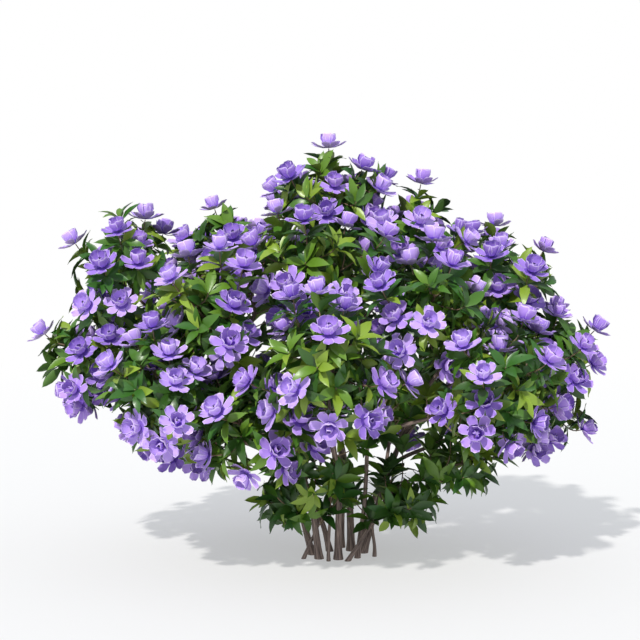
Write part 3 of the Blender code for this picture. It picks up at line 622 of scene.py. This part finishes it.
# The mass's own stem starts inside the limb's end. A fine shoot leaves from the fork that is nearest,
# where a turn back from the fork's own way counts as so much more length
STEM_OVERLAP, STEM_START_GIRTH, STEM_POINTS = 0.004, 1.02, 6
STEM_FORKS, SHOOT_FORKS = (0.3, 0.5, 0.7, 0.9), (3, 4, 5)
COST_OF_TURNING, LEAVING_AHEAD = 0.06, 0.7
PATH_STEPS, MAIN_SWAY, FINE_SWAY, TURN_UP = 8, 0.02, 0.04, 0.40
FLOWERS_IN_MASS, OUTER_SHARE, OUTER_SIDE = 17, 0.7, -0.5

all_shoots, twig_paths = [], []
for mass in masses.values():
    start = mass.entry - mass.axis * STEM_OVERLAP
    end = mass.entry + mass.axis * mass.stem_length
    own_stem = start + (end - start) * np.linspace(0, 1, STEM_POINTS)[:, None]
    twig_paths.append((own_stem, np.linspace(TIP_RADIUS * STEM_START_GIRTH, TWIG_RADIUS, STEM_POINTS)))
    forks = [(mass.entry + mass.axis * mass.stem_length * share, mass.axis) for share in STEM_FORKS]
    outwards = unit(mass.middle - CROWN_MIDDLE)
    flowers_left = FLOWERS_IN_MASS if mass.flowers else 0
    for k, shoot in enumerate(main_shoots[mass.name] + fine_shoots(mass, tips)):
        main_one = k < mass.shoots
        if not main_one:
            ways = [(shoot.end - spot, way) for spot, way in forks]
            costs = [np.linalg.norm(gap) + COST_OF_TURNING * (1 - unit(gap) @ way) for gap, way in ways]
            spot, way = forks[int(np.argmin(costs))]
            shoot.start, shoot.leaving = spot, unit(unit(shoot.end - spot) + way * LEAVING_AHEAD)
        shoot.heading = unit(shoot.heading + UP * TURN_UP)
        shoot.path = curved_path(
            shoot.start, shoot.leaving, shoot.end, shoot.heading, PATH_STEPS,
            MAIN_SWAY if main_one else FINE_SWAY, f"{mass.name} {k}")
        outer = shoot.share > OUTER_SHARE and shoot.way @ outwards > OUTER_SIDE
        shoot.flowers = flowers_left > 0 and (main_one or outer)
        flowers_left -= shoot.flowers
        thick = TWIG_RADIUS if main_one else FINE_RADIUS
        twig_paths.append((shoot.path, np.linspace(thick, STALK_RADIUS, PATH_STEPS + 1)))
        if main_one:
            forks += [(shoot.path[at], unit(shoot.path[at + 1] - shoot.path[at])) for at in SHOOT_FORKS]
        all_shoots.append(shoot)

# Short side twigs of the stems and boughs, which bear a rosette each inside the crown
SIDE_TWIG_SHARES, SIDE_TWIG_LENGTHS = np.arange(0.50, 0.97, 0.075), (0.045, 0.095)
SIDE_TWIG_TURN, SIDE_TWIG_AHEAD, SIDE_TWIG_UP, SIDE_TIP_UP = 0.3, 0.7, 0.25, 0.4
SIDE_TWIG_STEPS, LOWEST_SIDE_TIP = 5, 0.06

inner_paths = []
for name, limb in limbs.items():
    draw = random.Random("side twigs of " + name)
    for k, share in enumerate(SIDE_TWIG_SHARES):
        at = min(int(np.searchsorted(limb.share, share)), len(limb.points) - 1)
        low, high = limb.points[at - 1], limb.points[at]
        start = low + (high - low) * (share - limb.share[at - 1]) / (limb.share[at] - limb.share[at - 1])
        tangent = unit(high - low)
        across, over = square_to(tangent)
        side = turned(across, over, k * GOLDEN_ANGLE + draw.uniform(-SIDE_TWIG_TURN, SIDE_TWIG_TURN))
        way = unit(tangent * SIDE_TWIG_AHEAD + side + UP * SIDE_TWIG_UP)
        end = start + way * draw.uniform(*SIDE_TWIG_LENGTHS)
        if end[2] < LOWEST_SIDE_TIP:
            continue
        path = curved_path(start, unit(tangent + side), end, unit(way + UP * SIDE_TIP_UP), SIDE_TWIG_STEPS)
        twig_paths.append((path, np.linspace(FINE_RADIUS, STALK_RADIUS, SIDE_TWIG_STEPS + 1)))
        inner_paths.append(path)

TWIG_SIDES, TWIG_STEP, TWIG_RIDGES = 6, 0.008, 0.0002
young_bark = bark_material(
    "young bark", dark=(0.11, 0.065, 0.045), light=(0.34, 0.24, 0.15),
    fineness=1.6, roughness=0.6, depth=0.0002)
twigs = round_limbs("twigs", twig_paths, TWIG_SIDES, TWIG_STEP, TWIG_RIDGES, young_bark)
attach(twigs, "root")


# Leaves
# Glossy, pointed leaves that fold a little along the midrib and droop at the tip. They stand in whorls
# below each flower and in rosettes where a shoot bears none; each shoot has its own green, taken from
# greens that hold painted highlight and painted shade besides the leaves' own tones.

# How a blade's tip bows, its halves fold, and its edges ripple
TIP_BOW, FOLD_BEND = 0.05, 1.3
RIPPLES, RIGHT_PHASE, LEFT_PHASE = 7.3, 2.1, 0.4


def blade(name, length, width, rows, columns, arch, tip_drop, fold, thickness,
          rim=None, base_rows=0, ripple=0.0):
    """A thin closed blade along +Y with its upper side to +Z. Rows are shares of length and width; arch
    lifts its middle, fold lifts its edges. A face's zone is 0 for the upper side, 1 for the underside,
    or with a rim 0 within, 1 at the base and 2 at the rim."""
    verts, faces, zones, grid = [], [], [], {}
    last, end = len(rows) - 1, len(columns) - 1
    for side in (0, 1):
        for r, (v, w) in enumerate(rows):
            for c, u in enumerate(columns):
                if side and (abs(u) == 1 or r in (0, last)):
                    grid[side, r, c] = grid[0, r, c]
                    continue
                x = u * w * width / 2
                y = length * (v - (TIP_BOW * u * u if r == last else 0.0))
                z = arch * length * math.sin(math.pi * v) - tip_drop * length * v * v
                z += fold * abs(x) ** FOLD_BEND * width ** (1 - FOLD_BEND)
                z += ripple * width * math.sin(RIPPLES * v + (RIGHT_PHASE if u > 0 else LEFT_PHASE)) * abs(u)
                grid[side, r, c] = len(verts)
                verts.append((x, y, z - thickness * side))
        for r in range(last):
            for c in range(end):
                steps = ((0, 0), (0, 1), (1, 1), (1, 0))
                corners = [grid[side, r + up, c + right] for up, right in steps]
                faces.append(corners if side == 0 else corners[::-1])
                if rim is None:
                    zones.append(side)
                else:
                    at_rim = min(abs(columns[c]), abs(columns[c + 1])) >= rim or r == last - 1
                    zones.append(1 if r < base_rows else 2 if at_rim else 0)
    mesh = bpy.data.meshes.new(name)
    mesh.from_pydata(verts, [], faces)
    mesh.attributes.new("zone", "INT", "FACE").data.foreach_set("value", zones)
    mesh.shade_smooth()
    outline = [(r, 0) for r in range(last)] + [(last, c) for c in range(end)]
    outline += [(r, end) for r in range(last, 0, -1)] + [(0, c) for c in range(end, 0, -1)]
    loop = [grid[0, r, c] for r, c in outline]
    rim_edges = {tuple(sorted(pair)) for pair in zip(loop, loop[1:] + loop[:1])}
    sharp = [tuple(sorted(edge.vertices)) in rim_edges for edge in mesh.edges]
    mesh.attributes.new("sharp_edge", "BOOLEAN", "EDGE").data.foreach_set("value", sharp)
    return bpy.data.objects.new(name, mesh)


def equal(tree, value, number):
    """True where the value is this whole number."""
    feeds = {2: value, 3: number}
    return add_node(tree, "FunctionNodeCompare", feeds, data_type="INT", operation="EQUAL").outputs[0]


def spread_tree(name, materials):
    """The tree that puts a shape on each point by its turn, size and pick, and deals out materials by the
    point's tone and the face's zone: materials[tone][zone]."""
    tree, comes, goes = new_tree(name, [("Shapes", "Collection")])
    shapes = add_node(tree, "GeometryNodeCollectionInfo", {
        "Collection": comes.outputs["Shapes"], "Separate Children": True, "Reset Children": True})
    put = add_node(tree, "GeometryNodeInstanceOnPoints", {
        "Points": comes.outputs["Geometry"], "Instance": shapes.outputs[0], "Pick Instance": True,
        "Instance Index": attribute(tree, "pick", "INT"),
        "Rotation": attribute(tree, "turn", "FLOAT_VECTOR"), "Scale": attribute(tree, "size", "FLOAT")})
    flow = add_node(tree, "GeometryNodeRealizeInstances", {"Geometry": put.outputs[0]}).outputs[0]
    for tone, by_zone in enumerate(materials):
        this_tone = equal(tree, attribute(tree, "tone", "INT"), tone)
        for zone, material in enumerate(by_zone):
            this_zone = equal(tree, attribute(tree, "zone", "INT"), zone)
            here = add_node(tree, "FunctionNodeBooleanMath", {0: this_tone, 1: this_zone}, operation="AND")
            feeds = {"Geometry": flow, "Selection": here.outputs[0], "Material": material}
            flow = add_node(tree, "GeometryNodeSetMaterial", feeds).outputs[0]
    tree.links.new(flow, goes.inputs[0])
    return tree


def spread_out(name, spots, shapes, tree):
    """One piece with a shape at each spot: its place, its wide, along and face directions, size, pick
    and tone."""
    points = bpy.data.meshes.new(name)
    points.from_pydata([spot[0] for spot in spots], [], [])
    turns = [Matrix(np.column_stack(spot[1]).tolist()).to_euler() for spot in spots]
    points.attributes.new("turn", "FLOAT_VECTOR", "POINT").data.foreach_set("vector", np.array(turns).ravel())
    for label, kind, at in (("size", "FLOAT", 2), ("pick", "INT", 3), ("tone", "INT", 4)):
        points.attributes.new(label, kind, "POINT").data.foreach_set("value", [spot[at] for spot in spots])
    thing = bpy.data.objects.new(name, points)
    scene.collection.objects.link(thing)
    held = bpy.data.collections.new("shapes of " + name)
    for shape in shapes:
        held.objects.link(shape)
    piece = applied(thing, tree, {"Shapes": held}, name)
    for shape in shapes:
        bpy.data.objects.remove(shape)
    bpy.data.collections.remove(held)
    return piece


BUMP_DETAIL, BUMP_STRENGTH, GLOSS_VARIES = 2.0, 0.5, 0.1


def surface_material(name, colour, roughness, fineness, depth, specular=0.5):
    """A plain base colour, with fine uneven bumps and patches of more and less gloss."""
    material = bpy.data.materials.new(name)
    material.use_nodes = True
    nodes = material.node_tree
    shader = nodes.nodes["Principled BSDF"]
    shader.inputs["Base Color"].default_value = (*colour, 1.0)
    shader.inputs["Specular IOR Level"].default_value = specular
    where = add_node(nodes, "ShaderNodeTexCoord")
    noise = add_node(nodes, "ShaderNodeTexNoise", {
        "Vector": where.outputs["Object"], "Scale": fineness, "Detail": BUMP_DETAIL})
    gloss = add_node(nodes, "ShaderNodeMapRange", {
        "Value": noise.outputs[0], "To Min": roughness - GLOSS_VARIES, "To Max": roughness + GLOSS_VARIES})
    bump = add_node(nodes, "ShaderNodeBump", {
        "Height": noise.outputs[0], "Distance": depth, "Strength": BUMP_STRENGTH})
    nodes.links.new(gloss.outputs[0], shader.inputs["Roughness"])
    nodes.links.new(bump.outputs[0], shader.inputs["Normal"])
    return material


# Greens dealt out at random by shoot. They are partly the leaves' own differing tones and partly painted
# light: the palest yellow-green stands for the highlights on sunlit leaves, the darkest for leaves in shade.
GREENS = (
    (0.028, 0.085, 0.010), (0.055, 0.150, 0.013), (0.105, 0.215, 0.018),
    (0.205, 0.315, 0.028), (0.034, 0.120, 0.016),
)
UNDERSIDE_SHARE, UNDERSIDE_EXTRA = 0.75, (0.030, 0.050, 0.014)
LEAF_FINENESS, LEAF_DEPTH = 260.0, 0.0004
GLOSSY_SIDE, DULL_SIDE = 0.36, 0.55

leaf_greens = []
for k, green in enumerate(GREENS):
    paler = tuple(channel * UNDERSIDE_SHARE + extra for channel, extra in zip(green, UNDERSIDE_EXTRA))
    leaf_greens.append((
        surface_material(f"leaf upper side {k}", green, GLOSSY_SIDE, LEAF_FINENESS, LEAF_DEPTH),
        surface_material(f"leaf underside {k}", paler, DULL_SIDE, LEAF_FINENESS, LEAF_DEPTH)))

# A leaf: its sizes, its rows and columns, and the arch, droop and fold of each of the three shapes
LEAF_LENGTH, LEAF_WIDTH, LEAF_THICKNESS = 0.058, 0.0205, 0.0006
LEAF_ROWS = ((0.0, 0.05), (0.16, 0.46), (0.38, 0.96), (0.60, 0.92), (0.82, 0.50), (1.0, 0.05))
LEAF_COLUMNS = (-1.0, 0.0, 1.0)
LEAF_BENDS = ((0.05, 0.10, 0.50), (0.09, 0.24, 0.35), (0.03, 0.02, 0.60))


def leaf_shapes():
    return [
        blade(f"leaf shape {k}", LEAF_LENGTH, LEAF_WIDTH, LEAF_ROWS, LEAF_COLUMNS, *bends, LEAF_THICKNESS)
        for k, bends in enumerate(LEAF_BENDS)
    ]


def frame_at(path, walked):
    """The point this far along a path, with the path's direction there and two directions across it."""
    reached = length_along(path)
    walked = min(max(walked, 0.0), reached[-1])
    low = min(int(np.searchsorted(reached, walked, side="right")) - 1, len(path) - 2)
    share = (walked - reached[low]) / (reached[low + 1] - reached[low])
    tangent = unit(path[low + 1] - path[low])
    across, over = square_to(tangent)
    return path[low] + (path[low + 1] - path[low]) * share, tangent, across, over


# Leaves in a group: how many, how far below the shoot's end, the step between them, how far they point
# forwards, and their size
WHORL = (7, 0.028, 0.0016, 0.30, 1.0)
LOWER_WHORL = (4, 0.058, 0.0060, 0.42, 0.86)
ROSETTE = (8, 0.001, 0.0022, 0.62, 1.0)
LOWER_ROSETTE = (5, 0.030, 0.0070, 0.45, 0.9)
MOST_REACH, BARE_FOOT, LOWEST_LEAF_TIP = 1.34, 0.012, 0.006
LEAF_TURN, LEAF_ROLL, LEAF_UP = 0.2, 0.35, 0.08
LEAF_AHEAD, LEAF_SCALES, SAME_GREEN = (-0.18, 0.22), (0.80, 1.12), 0.6


def leaves_along(path, group, draw, tone, mass=None):
    """Where a group's leaves stand on a shoot. None touches the ground, or reaches too far out of the mass
    where one is given."""
    count, first, step, ahead, size = group
    whole = length_along(path)[-1]
    start_turn = draw.uniform(0, math.tau)
    found = []
    for k in range(count):
        walked = whole - first - step * k
        if walked < BARE_FOOT:
            break
        spot, tangent, across, over = frame_at(path, walked)
        side = turned(across, over, start_turn + k * GOLDEN_ANGLE + draw.uniform(-LEAF_TURN, LEAF_TURN))
        way = unit(tangent * (ahead + draw.uniform(*LEAF_AHEAD)) + side + UP * LEAF_UP)
        face = unit(tangent - way * (tangent @ way))
        wide = np.cross(way, face)
        roll = draw.uniform(-LEAF_ROLL, LEAF_ROLL)
        face, wide = turned(face, wide, roll), turned(wide, -face, roll)
        scale = size * draw.uniform(*LEAF_SCALES)
        tip = spot + way * LEAF_LENGTH * scale
        too_far = mass is not None and np.linalg.norm((tip - mass.middle) / mass.half) > MOST_REACH
        if tip[2] < LOWEST_LEAF_TIP or too_far:
            continue
        own_tone = tone if draw.random() < SAME_GREEN else draw.randrange(len(GREENS))
        found.append((spot, (wide, way, face), scale, draw.randrange(len(LEAF_BENDS)), own_tone))
    return found


whorl_spots, rosette_spots, inner_spots = [], [], []
for k, shoot in enumerate(all_shoots):
    draw = random.Random(f"leaves {k}")
    tone = draw.randrange(len(GREENS))
    for group in (WHORL, LOWER_WHORL) if shoot.flowers else (ROSETTE, LOWER_ROSETTE):
        spots = whorl_spots if shoot.flowers else rosette_spots
        spots += leaves_along(shoot.path, group, draw, tone, shoot.mass)
for k, path in enumerate(inner_paths):
    draw = random.Random(f"inner leaves {k}")
    inner_spots += leaves_along(path, ROSETTE, draw, draw.randrange(len(GREENS)))

leaf_tree = spread_tree("leaves on shoots", leaf_greens)
whorl_leaves = spread_out("whorl_leaves", whorl_spots, leaf_shapes(), leaf_tree)
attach(whorl_leaves, "root")

inner_leaves = spread_out("inner_leaves", inner_spots, leaf_shapes(), leaf_tree)
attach(inner_leaves, "root")

rosette_leaves = spread_out("rosette_leaves", rosette_spots, leaf_shapes(), leaf_tree)
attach(rosette_leaves, "root")
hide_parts(*[mass.name for mass in masses.values() if not mass.flowers])


# Flowers
# Each is double: seven petals spread wide, six stand up round the middle as a cup, and three small ones
# close it. Petals are lilac, deeper at the base and paler along the rim, round five thin cream stamens.

LILACS = ((0.43, 0.27, 0.74), (0.52, 0.36, 0.83), (0.33, 0.20, 0.65))
DEEPER, TOWARDS_WHITE = (0.55, 0.45, 0.78), (0.34, 0.30, 0.40)
PETAL_ROUGHNESS, PETAL_FINENESS, PETAL_DEPTH, PETAL_SPECULAR = 0.55, 320.0, 0.0004, 0.3

petal_tones = []
for k, lilac in enumerate(LILACS):
    deep = tuple(channel * share for channel, share in zip(lilac, DEEPER))
    rim = tuple(channel + (1 - channel) * share for channel, share in zip(lilac, TOWARDS_WHITE))
    petal_tones.append(tuple(
        surface_material(
            f"petal {part} {k}", colour, PETAL_ROUGHNESS, PETAL_FINENESS, PETAL_DEPTH, PETAL_SPECULAR)
        for part, colour in (("middle", lilac), ("base", deep), ("rim", rim))))

# A petal: its rows and columns, its length and width, its edge, and how much more each shape droops
PETAL_COLUMNS = (-1.0, -0.86, 0.0, 0.86, 1.0)
PETAL_ROWS = ((0.0, 0.16), (0.32, 0.60), (0.68, 1.0), (0.93, 0.82), (1.0, 0.42))
OUTER_PETAL, INNER_PETAL = (0.0395, 0.0205), (0.0345, 0.0235)
PETAL_THICKNESS, PETAL_RIM, PETAL_BASE_ROWS, PETAL_RIPPLE = 0.0005, 0.86, 1, 0.035
PETAL_DROPS = (1.0, 0.4, 1.5)

# A tier: how many petals, their lean from the flower's axis in degrees, how far that varies, how far up
# the flower they start, and their size
TIERS = ((7, 70, 7, 0.0010, 1.0), (6, 36, 6, 0.0018, 1.0), (3, 13, 5, 0.0026, 0.62))
FLOWER_SIZES, PETAL_SIZES = (0.90, 1.04), (0.92, 1.06)
OPENING, PETAL_TURN = (-7, 5), 0.12

# Stamens: how many, how far they lean, the places of their points along them, and their radius there
STAMENS, STAMEN_LEANS = 5, (0.1, 0.5)
STAMEN_POINTS = np.array((0.002, 0.010, 0.015, 0.017))[:, None]
STAMEN_RADII = (0.0003, 0.0003, 0.0008, 0.0004)
STAMEN_SIDES, STAMEN_STEP = 4, 0.004


def petal_shapes(size, arch, tip_drop, fold):
    return [
        blade(f"petal shape {k}", *size, PETAL_ROWS, PETAL_COLUMNS, arch, tip_drop * drop, fold,
              PETAL_THICKNESS, PETAL_RIM, PETAL_BASE_ROWS, PETAL_RIPPLE)
        for k, drop in enumerate(PETAL_DROPS)
    ]


tier_spots, stamen_paths = ([], [], []), []
for k, shoot in enumerate(all_shoots):
    if not shoot.flowers:
        continue
    draw = random.Random(f"flower {k}")
    base, axis = shoot.path[-1], shoot.heading
    across, over = square_to(axis)
    tone, grown, opened = draw.randrange(len(LILACS)), draw.uniform(*FLOWER_SIZES), draw.uniform(*OPENING)
    for spots, (count, polar, loose, forward, part_size) in zip(tier_spots, TIERS):
        start_turn = draw.uniform(0, math.tau)
        for petal in range(count):
            turn = start_turn + math.tau * petal / count + draw.uniform(-PETAL_TURN, PETAL_TURN)
            lean = math.radians(polar + opened + draw.uniform(-loose, loose))
            side = turned(across, over, turn)
            way, face = turned(axis, side, lean), turned(-side, axis, lean)
            size = grown * draw.uniform(*PETAL_SIZES) * part_size
            pick = draw.randrange(len(PETAL_DROPS))
            spots.append((base + axis * forward, (np.cross(way, face), way, face), size, pick, tone))
    for _ in range(STAMENS):
        turn, lean = draw.uniform(0, math.tau), draw.uniform(*STAMEN_LEANS)
        way = turned(axis, turned(across, over, turn), lean)
        stamen_paths.append((base + way * STAMEN_POINTS, STAMEN_RADII))

outer_shapes = petal_shapes(OUTER_PETAL, arch=-0.10, tip_drop=0.10, fold=0.22)
outer_tree = spread_tree("outer petals", petal_tones)
outer_petals = spread_out("outer_petals", tier_spots[0], outer_shapes, outer_tree)
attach(outer_petals, "root")
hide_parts(*[mass.name for mass in masses.values() if mass.flowers])

for name, spots in (("cup_petals", tier_spots[1]), ("centre_petals", tier_spots[2])):
    inner_shapes = petal_shapes(INNER_PETAL, arch=-0.16, tip_drop=-0.10, fold=0.42)
    petals = spread_out(name, spots, inner_shapes, spread_tree(name, petal_tones))
    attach(petals, "root")

cream = surface_material("cream stamens", (0.78, 0.62, 0.36), roughness=0.6, fineness=400.0, depth=0.0002)
stamens = round_limbs("stamens", stamen_paths, STAMEN_SIDES, STAMEN_STEP, 0.0, cream)
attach(stamens, "root")
